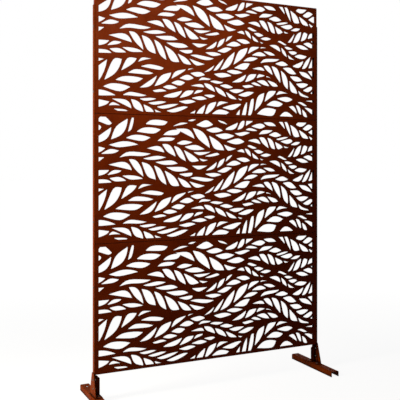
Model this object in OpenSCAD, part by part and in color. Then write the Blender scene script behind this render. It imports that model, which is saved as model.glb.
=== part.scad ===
// Free-standing metal screen: three laser-cut panels with folded rims, bolted between two
// angle posts that stand on channel feet.
// +Z is up, the front faces -Y, and the origin is on the floor below the middle of the screen.

/* [Panels] */
// Width of one panel across its rims
panel_w = 1200; // [900:10:1500]
// Height of one panel across its rims
panel_h = 600; // [450:10:750]
// Thickness of the panel sheet
sheet_t = 1.5; // [1:0.25:3]
// Depth of the folded rim, from the sheet's front face
rim_d = 22; // [18:1:30]
// Inside radius of the folds along the rim
fold_r = 1.5; // [0.5:0.5:3]
// Plain border beside the leaves at the panel's sides
side_border = 18; // [10:1:40]
// Plain border above and below the leaves
end_border = 15; // [10:1:40]

/* [Leaves] */
// Width of the rib left between two leaves
rib_w = 9; // [6:0.5:12]
// Width of the stem that the leaves grow from
stem_w = 10; // [7:0.5:12]
// Straight pieces in the long edge of a leaf
leaf_steps = 8; // [5:1:16]

/* [Posts] */
// Thickness of the post angle
post_t = 3; // [2:0.5:5]
// Width of the post's rear leg, with the thickness of its web
post_w = 15; // [12:1:30]
// Inside radius of the post's fold
post_fold_r = 2; // [1:0.5:4]
// Room between the back edge of the rims and the post's rear leg
post_room = 5; // [4:1:15]
// How far the middle of the posts stands behind the middle of the feet
post_setback = 2; // [0:1:20]
// How far the posts end below the top of the screen
post_drop = 100; // [20:5:180]
// Height of each panel's lower bolt above the panel's bottom edge
low_bolt_z = 100; // [60:5:180]
// Distance between a panel's two bolts in one post
bolt_pitch = 300; // [180:10:300]

/* [Feet] */
// Length of a foot
foot_l = 400; // [300:10:600]
// Width of the foot channel
foot_w = 44; // [40:1:60]
// Height of the foot channel
foot_h = 27; // [20:1:50]
// Thickness of the foot channel
foot_t = 2.5; // [2:0.5:4]
// Inside radius of the foot channel's folds
foot_fold_r = 2; // [1:0.5:4]
// How far a foot stands out past the edge of the panels
foot_out = 14; // [12:1:16]
// Diameter of the ground anchor holes
anchor_d = 12; // [8:1:16]
// Distance of an anchor hole from the end of the foot
anchor_in = 43; // [20:1:80]
// Gap between the feet and the bottom panel
ground_gap = 98; // [90:1:200]

/* [Brackets] */
// Thickness of the bracket plates
bracket_t = 3; // [2:0.5:5]
// Height of the bracket's outer plate above the foot
bracket_h = 105; // [95:1:150]
// Length of the bracket along the foot
bracket_l = 102; // [90:1:160]
// Width of the cross plate, inward from the post's web
cross_w = 27; // [24:1:30]
// Chamfer on the cross plate's free upper corner
cross_chamfer = 14; // [4:1:20]
// Gap between the cross plate and the bottom panel
cross_clear = 6; // [2:1:20]
// Height of the bracket's lower bolt above the foot
bracket_bolt_z = 35; // [20:1:40]
// Distance between the bracket's two bolts in the post
bracket_pitch = 40; // [20:1:42]
// Distance of a foot bolt from the end of the bracket
foot_bolt_in = 16; // [10:1:22]

/* [Fasteners] */
// Diameter of the bolts
bolt_d = 6; // [5:0.5:6]
// Diameter of the bolt heads
head_d = 11; // [9:0.5:12]
// Height of the bolt heads
head_h = 3.4; // [2:0.1:5]
// Size of the hexagon socket across its flats
socket_af = 4; // [3:0.5:5]
// Size of the nuts across their flats
nut_af = 10; // [9:0.5:10.5]
// Height of the nuts
nut_h = 5; // [4:0.5:6]
// How far a bolt stands out past its nut
bolt_proud = 2.5; // [1:0.5:5]
// Bolts along each seam between two panels
seam_bolts = 3; // [2:1:6]
// Distance of the outer seam bolts from the panel's side
seam_bolt_in = 200; // [60:10:300]

/* [Clearances] */
// How much wider the bolt holes are than the bolts
hole_play = 0.6; // [0.2:0.1:1]
// How much wider a nut's bore is than the bolt
nut_play = 0.1; // [0.05:0.05:0.3]
// Gap between the bracket's cross plate and the post's web
cross_play = 0.3; // [0.1:0.1:1]

/* [Hidden] */

PANELS = 3;
RUST = [0.43, 0.19, 0.10];
ZINC = [0.62, 0.61, 0.58];
CUT = 1;
$fn = 48;

// Folds and depths
fold_out = fold_r + sheet_t;
post_d = rim_d + post_room + post_t;
face_y = post_setback - post_d / 2;
rim_mid = (fold_out + rim_d) / 2;

// Heights
panel_z = foot_h + ground_gap;
screen_top = panel_z + PANELS * panel_h;
post_z = foot_h + bracket_t;
post_l = screen_top - post_drop - post_z;
cross_h = ground_gap - cross_clear - bracket_t;

// Places of the bolts
hole_d = bolt_d + hole_play;
side_bolts = [low_bolt_z, low_bolt_z + bolt_pitch];
post_bolts = [for (p = [0:PANELS - 1], z = side_bolts) panel_z + p * panel_h + z];
bracket_bolts = [foot_h + bracket_bolt_z, foot_h + bracket_bolt_z + bracket_pitch];
bracket_bolt_y = face_y + post_d / 4;
seam_l = panel_w - 2 * seam_bolt_in;
seam_places = [for (i = [0:seam_bolts - 1]) seam_l * (i / (seam_bolts - 1) - 1 / 2)];
foot_x = -panel_w / 2 - foot_out + foot_w / 2;
foot_bolt_x = -panel_w / 2 + cross_w / 2;
foot_bolts_y = [for (s = [-1, 1]) post_setback + s * (bracket_l / 2 - foot_bolt_in)];
anchors_y = [for (s = [-1, 1]) s * (foot_l / 2 - anchor_in)];

// Leaf shape
FIELD = [1200, 600]; // size of the field that the sprays are laid out on
TIP_BLUNT = 3; // a leaf's inner point starts this far from the corner of stem and vein
FRONT_REACH = 0.82; // share of the next vein's length that a leaf's front edge covers
FRONT_BEND = 14; // degrees that the front edge turns out of the next vein's direction
STEM_HUG = 0.9; // share of its base along which a leaf follows the stem
FRONT_PULL = 0.6; // how fully the front edge swings round
BACK_BOW = 0.06; // bow of the back edge, as a share of its length
BACK_MAX_TRIM = 0.6; // largest share of a leaf's base that the rib takes
SHORT_VEIN = 4; // a vein shorter than this leaves its leaf with no back edge
STEP_U = 0.01; // distance along the spine over which its direction is taken

// A spray is a spine with a row of leaves on its left and its right. Its points are in
// millimetres on the field, from the panel's lower left corner as seen from the front.
function spray(spine, left, right) = [spine, left, right];
// A row has the lean of its veins from the spine, the first and the last place along the spine,
// counted in spine points, and the length of each vein in turn.
function row(lean, first, last, veins) = [lean, first, last, veins];
BARE = row(0, 0, 0, []);

SPRAYS = [
  spray([[-30, 105], [50, 145], [130, 193], [210, 238], [300, 262]],
    row(44, 0, 4, [120, 112, 80, 38, 0]),
    row(42, 0, 4, [60, 84, 92, 98, 92, 60])),
  spray([[60, 372], [160, 398], [225, 385], [288, 368], [342, 343], [408, 310], [468, 290], [570, 262]],
    row(35, 0.75, 7, [40, 75, 88, 88, 76, 58, 40]),
    row(50, 0, 7, [0, 61, 78, 84, 84, 66, 46, 0])),
  spray([[-5, 450], [75, 470], [145, 500], [195, 530], [240, 568], [280, 610]],
    row(50, 0, 5, [45, 65, 84, 80, 70, 60]),
    row(50, 1, 5, [55, 85, 95, 100, 90])),
  spray([[190, 440], [250, 455], [297, 484], [325, 512], [352, 535], [385, 572], [450, 605]],
    BARE,
    row(42, 2, 4, [75, 72, 45])),
  spray([[378, 562], [420, 583], [470, 600]],
    BARE,
    row(30, 0, 1.6, [25, 30, 0])),
  spray([[240, 447], [325, 470], [387, 462], [440, 442], [515, 403], [600, 393]],
    row(34, 2, 5, [50, 60, 66, 58, 35]),
    row(50, 0, 5, [0, 51, 65, 69, 28, 0])),
  spray([[392, 546], [485, 552], [575, 515], [655, 473], [740, 448]],
    row(36, 1.15, 4, [45, 55, 60, 62, 40]),
    row(46, 0, 4, [0, 73, 80, 45, 0])),
  spray([[590, 600], [635, 590], [700, 575]],
    BARE,
    row(25, 0.5, 2, [28, 20])),
  spray([[470, 318], [545, 325], [612, 337], [660, 368], [715, 400], [790, 408]],
    row(45, 0.6, 4.4, [8, 30, 43, 32, 0]),
    row(48, 1, 5, [30, 44, 50, 44, 25])),
  spray([[545, 212], [595, 222], [640, 230], [712, 262], [790, 320], [858, 352], [940, 352]],
    row(42, 0, 6, [0, 46, 74, 72, 38, 15, 0]),
    row(50, 1, 6, [25, 48, 56, 52, 48, 42, 30])),
  spray([[190, 118], [285, 128], [372, 168], [455, 215], [540, 232]],
    row(48, 0.2, 3.8, [0, 72, 48, 15, 0]),
    row(46, 0.9, 3.8, [20, 40, 50, 45, 30, 0])),
  spray([[75, 78], [172, 80], [235, 57], [290, 35], [345, 15], [400, 0]],
    row(38, 0.75, 5, [26, 56, 68, 74, 84, 80]),
    row(52, 0, 5, [0, 62, 62, 50, 40, 30])),
  spray([[325, 82], [405, 78], [478, 98], [545, 115], [620, 118]],
    row(45, 0.1, 3.6, [18, 52, 30, 0]),
    row(44, 1, 3.8, [25, 50, 44, 25])),
  spray([[465, 155], [540, 173], [605, 158], [665, 135], [725, 108], [790, 95]],
    row(36, 0.8, 5, [20, 34, 38, 44, 56, 45]),
    row(45, 0, 5, [0, 30, 38, 42, 22, 0])),
  spray([[700, -80], [745, -45], [790, -10], [832, 30], [888, 78], [953, 115], [1060, 130]],
    row(38, 0, 6, [100, 100, 98, 80, 60, 40, 0]),
    row(50, 2, 5.7, [100, 95, 85, 66, 25])),
  spray([[955, -10], [1012, 72], [1085, -5]],
    BARE,
    row(50, 0, 1, [0, 80])),
  spray([[1015, 70], [1070, 84], [1112, 62], [1150, 32], [1190, 0]],
    row(44, 1.15, 4, [20, 45, 62, 60]),
    row(52, 0, 4, [0, 60, 40, 30, 20])),
  spray([[800, 258], [875, 280], [925, 282], [983, 261], [1025, 222], [1065, 182], [1110, 148], [1190, 125]],
    row(42, 0.8, 7, [30, 50, 48, 50, 52, 52, 45]),
    row(48, 0, 6.6, [0, 34, 65, 82, 68, 50, 30, 0])),
  spray([[775, 490], [850, 510], [905, 508], [947, 488], [995, 468], [1045, 458], [1100, 458]],
    row(40, 1, 6, [25, 42, 50, 50, 36, 15]),
    row(50, 0, 5, [0, 42, 70, 50, 20, 0])),
  spray([[940, 605], [1000, 600], [1042, 578], [1092, 553], [1145, 525], [1195, 500]],
    row(38, 2.2, 5, [50, 55, 50, 40]),
    row(50, 0, 5, [0, 50, 60, 56, 24, 0])),
  spray([[985, 398], [1050, 395], [1105, 408], [1150, 425], [1200, 435]],
    row(58, 0.4, 4, [0, 54, 60, 40, 30]),
    row(48, 1.2, 4, [20, 48, 52, 40])),
  spray([[1035, 275], [1090, 262], [1140, 266], [1195, 275]],
    row(55, 0, 3, [10, 54, 60, 50]),
    row(50, 0.9, 3, [20, 45, 50])),
  spray([[900, 385], [950, 395], [985, 380], [1025, 345], [1065, 322], [1130, 312]],
    row(40, 1.25, 4.8, [14, 28, 36, 36, 22]),
    row(45, 0.2, 4.4, [0, 45, 24, 0])),
  spray([[650, 530], [720, 530], [765, 545], [800, 565], [860, 585], [940, 592]],
    row(50, 0.2, 4, [12, 45, 50, 40]),
    row(42, 1, 5, [25, 44, 52, 45, 30])),
  spray([[712, 434], [765, 453], [810, 432], [850, 405], [905, 390]],
    row(35, 1.2, 4, [20, 32, 42, 25]),
    row(38, 0.2, 3.4, [0, 28, 30, 0])),
  spray([[690, 170], [765, 173], [835, 198], [885, 208], [965, 190]],
    row(48, 0.1, 4, [0, 53, 30, 8, 0]),
    row(45, 0.9, 4, [15, 34, 46, 48, 30])),
  spray([[440, -30], [495, -15], [550, 0], [615, 45], [690, 70], [770, 85]],
    row(48, 0, 4, [45, 52, 68, 36, 0]),
    row(44, 2, 4.3, [60, 70, 55, 20])),
  spray([[-40, 300], [55, 308], [125, 320], [185, 322], [250, 300]],
    row(38, 0, 2.2, [45, 48, 0]),
    row(40, 0, 3.3, [24, 32, 42, 30])),
  spray([[-60, 570], [15, 556], [62, 530], [90, 490]],
    row(75, 0.2, 2, [25, 34, 32]),
    row(45, 1.25, 2, [24, 0])),
  spray([[-55, 405], [25, 406], [110, 408]],
    row(32, 0, 2, [40, 48, 25]),
    row(50, 0, 1, [30, 30])),
  spray([[-60, 268], [0, 265], [60, 258]],
    BARE,
    row(28, 0, 2, [16, 22, 0])),
  spray([[-60, 5], [15, 20], [80, 32], [170, 28]],
    row(45, 0, 2.4, [40, 38, 12, 0]),
    BARE),
  spray([[1115, 94], [1165, 88], [1210, 78]],
    row(45, 0, 2, [0, 30, 30]),
    BARE),
];

// Point at place u on the smooth curve through the spine's points
function spine_point(spine, u) =
  let(last = len(spine) - 1, k = max(0, min(floor(u), last - 1)), f = u - k)
  let(a = spine[max(k - 1, 0)], b = spine[k], c = spine[k + 1], d = spine[min(k + 2, last)])
  0.5 * (2 * b + f * ((c - a) + f * ((2 * a - 5 * b + 4 * c - d) + f * (3 * b - a - 3 * c + d))));

function unit(v) = v / norm(v);

// Direction of that curve at place u
function spine_dir(spine, u) =
  unit(spine_point(spine, min(len(spine) - 1, u + STEP_U)) - spine_point(spine, max(0, u - STEP_U)));

function turned(v, angle) = [v[0] * cos(angle) - v[1] * sin(angle), v[0] * sin(angle) + v[1] * cos(angle)];

// Bezier curves with four and with three points
function cubic(a, b, c, d, t) =
  a * pow(1 - t, 3) + 3 * b * t * pow(1 - t, 2) + 3 * c * t * t * (1 - t) + d * pow(t, 3);
function quadratic(a, b, c, t) = a * pow(1 - t, 2) + 2 * b * t * (1 - t) + c * t * t;

// Outline of the leaf between the veins at u0 and u1, of lengths l0 and l1, on the side of the
// spine given by hand (1 is left, -1 is right). Its front edge hugs the stem and swings out
// beside the next vein, and its back edge lies along its own vein.
function leaf(spine, hand, lean, u0, u1, l0, l1) =
  let(along = spine_dir(spine, u0), along_next = spine_dir(spine, u1))
  let(corner = spine_point(spine, u0) + turned(along, 90 * hand) * stem_w / 2)
  let(next = spine_point(spine, u1) + turned(along_next, 90 * hand) * stem_w / 2)
  let(base = norm(next - corner), trim = min(rib_w / sin(lean), BACK_MAX_TRIM * base))
  let(front = next - unit(next - corner) * trim)
  let(vein = turned(along, hand * lean), vein_next = turned(along_next, hand * lean))
  let(back_end = corner + vein * l0, front_end = front + vein_next * l1 * FRONT_REACH)
  let(hug = corner + (front - corner) * STEM_HUG)
  let(swing = front_end - turned(vein_next, hand * FRONT_BEND) * norm(front_end - front) * FRONT_PULL)
  let(bow = corner + vein * l0 / 2 - turned(vein, hand * 90) * l0 * BACK_BOW)
  let(back_steps = floor(leaf_steps / 2))
  concat(
    [for (i = [0:leaf_steps]) cubic(corner + along * TIP_BLUNT, hug, swing, front_end, i / leaf_steps)],
    l0 > SHORT_VEIN
      ? [for (i = [0:back_steps]) quadratic(back_end, bow, corner + vein * TIP_BLUNT, i / back_steps)]
      : []);

// Every leaf of one row, stretched from the field to the panel
module leaf_row(spine, hand, row) {
  veins = row[3];
  leaves = len(veins) - 1;
  fit = [panel_w / FIELD[0], panel_h / FIELD[1]];
  if (leaves > 0)
    for (i = [0:leaves - 1]) {
      step = (row[2] - row[1]) / leaves;
      u0 = row[1] + step * i;
      outline = leaf(spine, hand, row[0], u0, u0 + step, veins[i], veins[i + 1]);
      polygon([for (p = outline) [p[0] * fit[0], p[1] * fit[1]]]);
    }
}

module leaf_field() {
  for (s = SPRAYS) {
    leaf_row(s[0], 1, s[1]);
    leaf_row(s[0], -1, s[2]);
  }
}

// A rectangle whose corner at the origin is rounded
module rounded_corner(size, r) {
  difference() {
    square(size);
    difference() {
      translate([-CUT, -CUT]) square(r + CUT);
      translate([r, r]) circle(r);
    }
  }
}

// Section of a sheet folded to an angle, with its outer corner at the origin
module angle_section(size, t, r) {
  difference() {
    rounded_corner(size, r + t);
    translate([t, t]) rounded_corner(size, r);
  }
}

// A bolt hole along X through a wall that starts at x = 0
module side_hole(t) {
  translate([-CUT, 0, 0]) rotate([0, 90, 0]) cylinder(d = hole_d, h = t + 2 * CUT);
}

// One side of the rim, with its fold, standing up from the origin
module rim(length, holes) {
  difference() {
    linear_extrude(length) angle_section([fold_out, rim_d], sheet_t, fold_r);
    for (z = holes) translate([0, rim_mid, z]) side_hole(sheet_t);
  }
}

// The flat front of a panel with its leaves cut out
module panel_sheet() {
  translate([-panel_w / 2, face_y + sheet_t, 0]) rotate([90, 0, 0]) linear_extrude(sheet_t)
    difference() {
      translate([fold_out, fold_out]) square([panel_w - 2 * fold_out, panel_h - 2 * fold_out]);
      intersection() {
        leaf_field();
        translate([side_border, end_border])
          square([panel_w - 2 * side_border, panel_h - 2 * end_border]);
      }
    }
}

// A whole panel, counted from the bottom
module panel(number) {
  side_l = panel_h - 2 * fold_out;
  end_l = panel_w - 2 * fold_out;
  color(RUST) translate([0, 0, panel_z + number * panel_h]) {
    panel_sheet();
    for (side = [0, 1]) mirror([side, 0, 0])
      translate([-panel_w / 2, face_y, fold_out]) rim(side_l, [for (z = side_bolts) z - fold_out]);
    for (end = [0, 1]) translate([0, 0, end * panel_h]) mirror([0, 0, end])
      translate([end_l / 2, face_y, 0]) rotate([0, -90, 0])
        rim(end_l, [for (x = seam_places) x + end_l / 2]);
  }
}

module panel_bottom() { panel(0); }
module panel_middle() { panel(1); }
module panel_top() { panel(2); }

// The left-hand pieces stand at -X, and the right-hand ones are their mirror images
module right_hand() { mirror([1, 0, 0]) children(); }

module left_post() {
  color(RUST) translate([-panel_w / 2 - post_t, 0, 0]) difference() {
    translate([0, face_y + post_d, post_z]) mirror([0, 1, 0])
      linear_extrude(post_l) angle_section([post_w, post_d], post_t, post_fold_r);
    for (z = post_bolts) translate([0, face_y + rim_mid, z]) side_hole(post_t);
    for (z = bracket_bolts) translate([0, bracket_bolt_y, z]) side_hole(post_t);
  }
}

// An upright shape with both top corners rounded
module round_topped(w, h, r) {
  translate([-w / 2, 0]) square([w, h - r]);
  translate([-w / 2 + r, 0]) square([w - 2 * r, h]);
  for (s = [-1, 1]) translate([s * (w / 2 - r), h - r]) circle(r);
}

module left_foot() {
  color(RUST) difference() {
    translate([foot_x, 0, 0]) rotate([90, 0, 0]) linear_extrude(foot_l, center = true) difference() {
      round_topped(foot_w, foot_h, foot_fold_r + foot_t);
      translate([0, -CUT]) round_topped(foot_w - 2 * foot_t, foot_h - foot_t + CUT, foot_fold_r);
    }
    for (y = anchors_y) translate([foot_x, y, 0]) cylinder(d = anchor_d, h = foot_h + CUT);
    for (y = foot_bolts_y) translate([foot_bolt_x, y, 0]) cylinder(d = hole_d, h = foot_h + CUT);
  }
}

module left_bracket() {
  inner_x = -panel_w / 2;
  outer_x = inner_x - post_t - bracket_t;
  color(RUST) translate([0, 0, foot_h]) {
    // Outer plate, as wide as the post at its top
    difference() {
      translate([outer_x, post_setback, 0]) rotate([90, 0, 90]) linear_extrude(bracket_t)
        polygon([[-bracket_l / 2, 0], [bracket_l / 2, 0], [post_d / 2, bracket_h], [-post_d / 2, bracket_h]]);
      for (z = bracket_bolts) translate([outer_x, bracket_bolt_y, z - foot_h]) side_hole(bracket_t);
    }
    // Base plate on the foot
    difference() {
      translate([outer_x, post_setback - bracket_l / 2, 0])
        cube([inner_x + cross_w - outer_x, bracket_l, bracket_t]);
      for (y = foot_bolts_y) translate([foot_bolt_x, y, -CUT]) cylinder(d = hole_d, h = bracket_t + 2 * CUT);
    }
    // Cross plate inside the post
    translate([inner_x, post_setback + bracket_t, bracket_t]) rotate([90, 0, 0]) linear_extrude(bracket_t)
      polygon([[cross_play, 0], [cross_w, 0], [cross_w, cross_h - cross_chamfer],
        [cross_w - cross_chamfer, cross_h], [cross_play, cross_h]]);
  }
}

module right_post() { right_hand() left_post(); }
module right_foot() { right_hand() left_foot(); }
module right_bracket() { right_hand() left_bracket(); }

// A round-headed bolt whose head sits on z = 0 and whose shank points down
module bolt(grip) {
  dome_r = (head_d * head_d / 4 + head_h * head_h) / (2 * head_h);
  shank_l = grip + nut_h + bolt_proud;
  color(ZINC) {
    difference() {
      rotate_extrude() intersection() {
        translate([0, head_h - dome_r]) circle(dome_r);
        square([head_d / 2, head_h]);
      }
      translate([0, 0, head_h / 2]) cylinder(d = socket_af / cos(30), h = head_h, $fn = 6);
    }
    translate([0, 0, -shank_l]) cylinder(d = bolt_d, h = shank_l);
  }
}

// Its nut, below a stack of sheets as thick as the grip
module nut(grip) {
  color(ZINC) translate([0, 0, -grip - nut_h]) difference() {
    cylinder(d = nut_af / cos(30), h = nut_h, $fn = 6);
    translate([0, 0, -CUT]) cylinder(d = bolt_d + nut_play, h = nut_h + 2 * CUT);
  }
}

// Places of the bolts, each with its head outward
module at_post_bolts() {
  for (z = post_bolts)
    translate([-panel_w / 2 - post_t, face_y + rim_mid, z]) rotate([0, -90, 0]) children();
}
module at_bracket_bolts() {
  for (z = bracket_bolts)
    translate([-panel_w / 2 - post_t - bracket_t, bracket_bolt_y, z]) rotate([0, -90, 0]) children();
}
module at_foot_bolts() {
  for (y = foot_bolts_y) translate([foot_bolt_x, y, foot_h + bracket_t]) children();
}
module at_seam_bolts(seam) {
  for (x = seam_places) translate([x, face_y + rim_mid, panel_z + seam * panel_h + sheet_t]) children();
}

module left_post_bolts() { at_post_bolts() bolt(post_t + sheet_t); }
module left_post_nuts() { at_post_bolts() nut(post_t + sheet_t); }
module left_bracket_bolts() { at_bracket_bolts() bolt(bracket_t + post_t); }
module left_bracket_nuts() { at_bracket_bolts() nut(bracket_t + post_t); }
module left_foot_bolts() { at_foot_bolts() bolt(bracket_t + foot_t); }
module left_foot_nuts() { at_foot_bolts() nut(bracket_t + foot_t); }
module right_post_bolts() { right_hand() left_post_bolts(); }
module right_post_nuts() { right_hand() left_post_nuts(); }
module right_bracket_bolts() { right_hand() left_bracket_bolts(); }
module right_bracket_nuts() { right_hand() left_bracket_nuts(); }
module right_foot_bolts() { right_hand() left_foot_bolts(); }
module right_foot_nuts() { right_hand() left_foot_nuts(); }
module lower_seam_bolts() { at_seam_bolts(1) bolt(2 * sheet_t); }
module lower_seam_nuts() { at_seam_bolts(1) nut(2 * sheet_t); }
module upper_seam_bolts() { at_seam_bolts(2) bolt(2 * sheet_t); }
module upper_seam_nuts() { at_seam_bolts(2) nut(2 * sheet_t); }

panel_bottom();
panel_middle();
panel_top();
left_post();
right_post();
left_foot();
right_foot();
left_bracket();
right_bracket();
left_post_bolts();
right_post_bolts();
left_post_nuts();
right_post_nuts();
left_bracket_bolts();
right_bracket_bolts();
left_bracket_nuts();
right_bracket_nuts();
left_foot_bolts();
right_foot_bolts();
left_foot_nuts();
right_foot_nuts();
lower_seam_bolts();
lower_seam_nuts();
upper_seam_bolts();
upper_seam_nuts();
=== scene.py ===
"""Looks for a free-standing screen of laser-cut metal panels.

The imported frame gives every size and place. This script coats the posts, feet and brackets, cuts
the panels' fronts into leaves, makes the bolts, nuts and weld beads in full, and stands the screen
in a pale studio in front of a camera at the photographed angle. Lengths are in metres, but the
plan of a panel's leaves is in millimetres.
"""
import logging
import math
from dataclasses import dataclass
from enum import Enum
from typing import Callable

import bmesh
import bpy
from bpy.types import Material, Mesh, Node, NodeSocket, NodeTree, Object
from mathutils import Matrix, Vector
from mathutils.geometry import delaunay_2d_cdt


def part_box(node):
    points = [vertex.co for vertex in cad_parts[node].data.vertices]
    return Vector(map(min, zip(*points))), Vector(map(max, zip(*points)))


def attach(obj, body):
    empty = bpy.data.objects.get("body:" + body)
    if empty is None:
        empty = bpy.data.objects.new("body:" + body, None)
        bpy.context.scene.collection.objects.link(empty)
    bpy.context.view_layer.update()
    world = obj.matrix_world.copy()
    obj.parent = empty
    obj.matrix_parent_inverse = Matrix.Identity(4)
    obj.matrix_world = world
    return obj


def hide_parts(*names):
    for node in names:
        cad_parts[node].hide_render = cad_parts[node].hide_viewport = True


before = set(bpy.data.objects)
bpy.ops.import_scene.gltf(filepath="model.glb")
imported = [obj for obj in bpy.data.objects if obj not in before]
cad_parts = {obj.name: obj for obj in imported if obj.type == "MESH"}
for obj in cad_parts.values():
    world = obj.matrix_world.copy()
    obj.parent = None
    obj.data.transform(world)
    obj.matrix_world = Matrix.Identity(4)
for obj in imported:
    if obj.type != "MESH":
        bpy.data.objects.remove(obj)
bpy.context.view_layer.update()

LOG = logging.getLogger("screen")
BODY = "root"
FULL_TURN = 2 * math.pi
MM = 0.001

Level = float | Callable[[float], float]
Path = list[Vector]
Point = tuple[float, float]
Profile = list[tuple[Level, Level]]
Sockets = tuple[NodeSocket, ...]
Triangle = tuple[int, int, int]
Triple = tuple[float, float, float]

WHITE: Triple = (1.0, 1.0, 1.0)
UP: Triple = (0.0, 0.0, 1.0)


# ---- Node trees


class Wiring:
    """Adds nodes to one tree and joins their sockets.

    What a node's input gets is a socket, a node that stands for its first output, or a plain value.
    """

    def __init__(self, tree: NodeTree) -> None:
        """Starts on an empty shader or geometry tree."""
        self.tree = tree
        self.prefix = tree.bl_idname.removesuffix("Tree")

    def add(self, kind: str, settings: dict | None = None, **inputs: object) -> Node:
        """Adds a node.

        Args:
            kind: Its type name, which may leave out the tree's ShaderNode or GeometryNode.
            settings: Properties set on the node itself, by name.
            **inputs: What its inputs get, as feed takes them.

        Returns:
            The new node.
        """
        node = self.tree.nodes.new(kind if "Node" in kind else self.prefix + kind)
        for name, value in (settings or {}).items():
            setattr(node, name, value)
        self.feed(node, **inputs)
        return node

    def plug(self, target: NodeSocket, value: object) -> None:
        """Links or sets one input.

        Args:
            target: The input.
            value: What it gets. A colour's alpha is left out.
        """
        if isinstance(value, Node):
            value = value.outputs[0]
        if isinstance(value, NodeSocket):
            self.tree.links.new(value, target)
        else:
            target.default_value = (*value, 1.0) if target.type == "RGBA" else value

    def feed(self, node: Node, **inputs: object) -> None:
        """Plugs some of a node's inputs.

        Args:
            node: The node.
            **inputs: What each gets, under the input's name in lower case with underscores.
        """
        for name, value in inputs.items():
            wanted = name.replace("_", " ")
            self.plug(next(s for s in node.inputs if s.enabled and s.name.lower() == wanted), value)

    def group(self, tree: NodeTree, **inputs: object) -> object:
        """Places a shader group, feeds it and returns its outputs."""
        return self.add("ShaderNodeGroup", {"node_tree": tree}, **inputs).outputs

    def join(self, node: Node, *values: object) -> NodeSocket:
        """Plugs a node's inputs in their order.

        Args:
            node: The node.
            *values: What its inputs in use get.

        Returns:
            The node's first output in use.
        """
        for target, value in zip((s for s in node.inputs if s.enabled), values):
            self.plug(target, value)
        return next(s for s in node.outputs if s.enabled)

    def sum(self, operation: str, first: object, second: object = 0.0) -> NodeSocket:
        """Works out one step of arithmetic by a Math node and returns the result's socket."""
        return self.join(self.add("ShaderNodeMath", {"operation": operation}), first, second)

    def weigh(self, first: object, share: float, second: object) -> NodeSocket:
        """Returns a share of the first value and the rest of the second, added up."""
        rest = self.sum("MULTIPLY", second, 1 - share)
        return self.sum("ADD", self.sum("MULTIPLY", first, share), rest)

    def spread(
        self, value: object, low: float, high: float, to_low: float = 0.0, to_high: float = 1.0
    ) -> NodeSocket:
        """Maps a value from the range low to high to another range and clamps it."""
        return self.join(self.add("ShaderNodeMapRange"), value, low, high, to_low, to_high)

    def blend(self, share: object, first: object, second: object) -> NodeSocket:
        """Mixes two colours, with a share of the second, and returns the result's socket."""
        return self.join(self.add("ShaderNodeMix", {"data_type": "RGBA"}), share, first, second)

    def noise(
        self, vector: object, scale: object, detail: float = 2.0, roughness: float = 0.5
    ) -> NodeSocket:
        """Adds noise, with its scale in blotches to the metre, and returns its value."""
        inputs = {"vector": vector, "scale": scale, "detail": detail, "roughness": roughness}
        return self.add("ShaderNodeTexNoise", **inputs).outputs["Fac"]


def node_group(kind: str, name: str, outputs: tuple[str, ...], **inputs: str | float) -> Callable:
    """Lets the function below it wire a group, which is built once and found again afterwards.

    Args:
        kind: Shader or Geometry.
        name: The group's name.
        outputs: The outputs' names. A shader group's are numbers.
        **inputs: Each input's type, or its default if that is a number, by name.

    Returns:
        The decorator. The function under it is given the wiring and the group's inputs, and
        returns a socket for each output.
    """

    def decorate(fill: Callable) -> Callable[[], NodeTree]:
        """Makes the group's own function.

        Args:
            fill: The function that wires the group.

        Returns:
            A function that gives the group.
        """

        def group() -> NodeTree:
            """Builds the group the first time that it is asked for.

            Returns:
                The group.
            """
            tree = bpy.data.node_groups.get(name)
            if tree is not None:
                return tree
            tree = bpy.data.node_groups.new(name, kind + "NodeTree")
            results = dict.fromkeys(outputs, "Float" if kind == "Shader" else kind)
            for way, sockets in (("INPUT", inputs), ("OUTPUT", results)):
                for label, given in sockets.items():
                    number = not isinstance(given, str)
                    typed = "NodeSocket" + (type(given).__name__.title() if number else given)
                    made = tree.interface.new_socket(name=label, in_out=way, socket_type=typed)
                    if number:
                        made.default_value = given
            wiring = Wiring(tree)
            values = fill(wiring, wiring.add("NodeGroupInput").outputs)
            for target, value in zip(wiring.add("NodeGroupOutput").inputs, values):
                wiring.plug(target, value)
            return tree

        return group

    return decorate


@node_group(
    "Shader", "Clouding", ("Clouds", "Specks"),
    Vector="Vector", Patches=5.0, Blotches=40.0, Specks=600.0,
)
def clouding(wiring: Wiring, given: object) -> Sockets:
    """Clouds a coat: broad patches, small blotches and fine specks.

    Args:
        wiring: The group's wiring.
        given: The group's inputs.

    Returns:
        The clouds, from deep to bright, and the specks.
    """
    broad = wiring.noise(given["Vector"], given["Patches"])
    small = wiring.noise(given["Vector"], given["Blotches"], detail=4.0, roughness=0.6)
    specks = wiring.noise(given["Vector"], given["Specks"], roughness=0.7)
    clouds = wiring.spread(wiring.weigh(broad, 0.6, small), low=0.36, high=0.64)
    return clouds, wiring.spread(specks, low=0.60, high=0.74)


@node_group("Shader", "Coat grain", ("Height",), Vector="Vector", Pebbles=900.0, Ripples=160.0)
def coat_grain(wiring: Wiring, given: object) -> Sockets:
    """Gives the fine pebbled skin of a baked coat.

    Args:
        wiring: The group's wiring.
        given: The group's inputs.

    Returns:
        The skin's height.
    """
    pebbles = wiring.noise(given["Vector"], given["Pebbles"])
    ripples = wiring.noise(given["Vector"], given["Ripples"])
    return (wiring.weigh(pebbles, 0.7, ripples),)


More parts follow.
